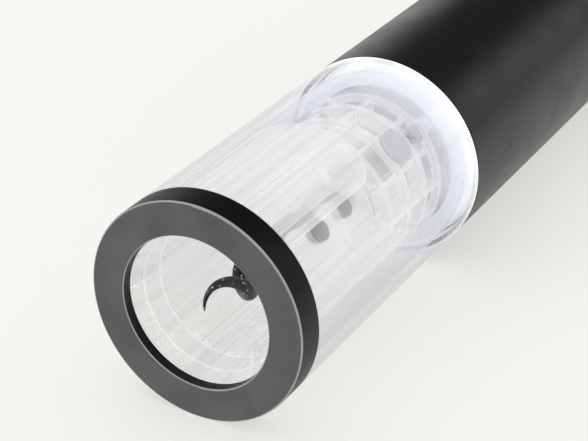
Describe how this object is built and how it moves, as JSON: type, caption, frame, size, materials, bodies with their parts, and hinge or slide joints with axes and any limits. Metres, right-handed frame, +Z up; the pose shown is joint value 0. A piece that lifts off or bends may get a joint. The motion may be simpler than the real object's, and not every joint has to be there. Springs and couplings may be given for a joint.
{
  "type": "electric wine opener",
  "caption": "Cordless electric wine opener: black grip with buttons, clear front tube, bottle guide and a motor-driven worm, lying on its side.",
  "frame": {"origin": "on the floor, midway along the body and under its axis", "axes": "+Y along the body from the bottle mouth to the rear cap, +Z up through the buttons, +X to the right seen from the mouth side"},
  "size_m": [0.0508, 0.268, 0.0517],
  "materials": {
    "ring_plastic": "fine matte, lightly sparked",
    "clear_plastic": "clear polished plastic",
    "guide_plastic": "translucent moulded plastic",
    "light_plastic": "translucent diffuser",
    "lens_plastic": "smoke-grey translucent plastic",
    "reflector_plastic": "white reflector plastic",
    "lamp_board": "white solder mask",
    "pad_rubber": "soft dark grey",
    "grip_plastic": "soft matte black",
    "bezel_plastic": "satin black",
    "button_plastic": "matte dark grey",
    "frame_plastic": "moulded black plastic",
    "gear_plastic": "natural acetal",
    "switch_plastic": "black",
    "plunger_plastic": "red",
    "circuit_board": "green solder mask",
    "lamp": "cool white lamp",
    "coated_steel": "black non-stick coating",
    "plate_steel": "zinc plated",
    "screw_steel": "bright zinc",
    "bearing_bronze": "sintered bronze",
    "magnet": "dark ferrite",
    "rotor_iron": "laminated iron",
    "copper": "enamelled copper",
    "contact_nickel": "nickel",
    "cell_sleeve": "shrink sleeve"
  },
  "bodies": {
    "housing": {"end_ring": "ring_plastic", "clear_tube": "clear_plastic", "guide_upper": "guide_plastic", "guide_lower": "guide_plastic", "guide_screws": "screw_steel", "guide_pads": "pad_rubber", "side_lenses": "lens_plastic", "light_ring": "light_plastic", "led_board": "lamp_board", "leds": "lamp", "bulkhead": "reflector_plastic", "spindle_bush": "bearing_bronze", "ring_gear": "gear_plastic", "motor_plate": "plate_steel", "motor_screws": "screw_steel", "gearbox_screws": "screw_steel", "motor_can": "plate_steel", "motor_cap": "frame_plastic", "motor_magnets": "magnet", "motor_terminals": "copper", "handle_sleeve": "grip_plastic", "button_bezel": "bezel_plastic", "chassis_lower": "frame_plastic", "chassis_upper": "frame_plastic", "cells": "cell_sleeve", "cell_contacts": "contact_nickel", "control_board": "circuit_board", "board_screws": "screw_steel", "tact_switches": "switch_plastic", "rear_cap": "grip_plastic", "rear_screws": "screw_steel", "charge_socket": "switch_plastic", "socket_nut": "contact_nickel"},
    "worm_drive": {"worm": "coated_steel", "spindle": "plate_steel", "spindle_clip": "screw_steel", "output_carrier": "plate_steel", "output_pins": "screw_steel"},
    "input_stage": {"input_carrier": "gear_plastic", "input_pins": "screw_steel"},
    "motor_rotor": {"motor_pinion": "bearing_bronze", "motor_shaft": "screw_steel", "rotor": "rotor_iron", "rotor_windings": "copper", "commutator": "copper"},
    "output_planet_1": {"output_planet_1": "gear_plastic"},
    "output_planet_2": {"output_planet_2": "gear_plastic"},
    "output_planet_3": {"output_planet_3": "gear_plastic"},
    "input_planet_1": {"input_planet_1": "gear_plastic"},
    "input_planet_2": {"input_planet_2": "gear_plastic"},
    "input_planet_3": {"input_planet_3": "gear_plastic"},
    "up_button": {"up_button": "button_plastic", "up_plunger": "plunger_plastic"},
    "down_button": {"down_button": "button_plastic", "down_plunger": "plunger_plastic"}
  },
  "joints": [
    {"name": "worm_spin", "type": "hinge", "parent": "housing", "child": "worm_drive", "pos_m": [0, -0.05, 0.0254], "axis": [0, 1, 0], "continuous": true},
    {"name": "input_stage_spin", "type": "hinge", "parent": "housing", "child": "input_stage", "pos_m": [0, -0.027, 0.0254], "axis": [0, 1, 0], "continuous": true},
    {"name": "motor_spin", "type": "hinge", "parent": "housing", "child": "motor_rotor", "pos_m": [0, 0, 0.0254], "axis": [0, 1, 0], "continuous": true},
    {"name": "output_planet_1_spin", "type": "hinge", "parent": "worm_drive", "child": "output_planet_1", "pos_m": [0, -0.033, 0.0344], "axis": [0, 1, 0], "continuous": true},
    {"name": "output_planet_2_spin", "type": "hinge", "parent": "worm_drive", "child": "output_planet_2", "pos_m": [0.00779, -0.033, 0.0209], "axis": [0, 1, 0], "continuous": true},
    {"name": "output_planet_3_spin", "type": "hinge", "parent": "worm_drive", "child": "output_planet_3", "pos_m": [-0.00779, -0.033, 0.0209], "axis": [0, 1, 0], "continuous": true},
    {"name": "input_planet_1_spin", "type": "hinge", "parent": "input_stage", "child": "input_planet_1", "pos_m": [0, -0.0215, 0.0344], "axis": [0, 1, 0], "continuous": true},
    {"name": "input_planet_2_spin", "type": "hinge", "parent": "input_stage", "child": "input_planet_2", "pos_m": [0.00779, -0.0215, 0.0209], "axis": [0, 1, 0], "continuous": true},
    {"name": "input_planet_3_spin", "type": "hinge", "parent": "input_stage", "child": "input_planet_3", "pos_m": [-0.00779, -0.0215, 0.0209], "axis": [0, 1, 0], "continuous": true},
    {"name": "up_button_press", "type": "slide", "parent": "housing", "child": "up_button", "axis": [0, 0, -1], "range_m": [0, 0.0008], "stiffness_N_per_m": 1200, "springref_m": -0.0005},
    {"name": "down_button_press", "type": "slide", "parent": "housing", "child": "down_button", "axis": [0, 0, -1], "range_m": [0, 0.0008], "stiffness_N_per_m": 1200, "springref_m": -0.0005}
  ],
  "couplings": [
    {"joint": "input_stage_spin", "follows": "motor_spin", "ratio": 0.2},
    {"joint": "worm_spin", "follows": "motor_spin", "ratio": 0.04},
    {"joint": "output_planet_1_spin", "follows": "motor_spin", "ratio": -0.10667},
    {"joint": "output_planet_2_spin", "follows": "motor_spin", "ratio": -0.10667},
    {"joint": "output_planet_3_spin", "follows": "motor_spin", "ratio": -0.10667},
    {"joint": "input_planet_1_spin", "follows": "motor_spin", "ratio": -0.53333},
    {"joint": "input_planet_2_spin", "follows": "motor_spin", "ratio": -0.53333},
    {"joint": "input_planet_3_spin", "follows": "motor_spin", "ratio": -0.53333}
  ]
}
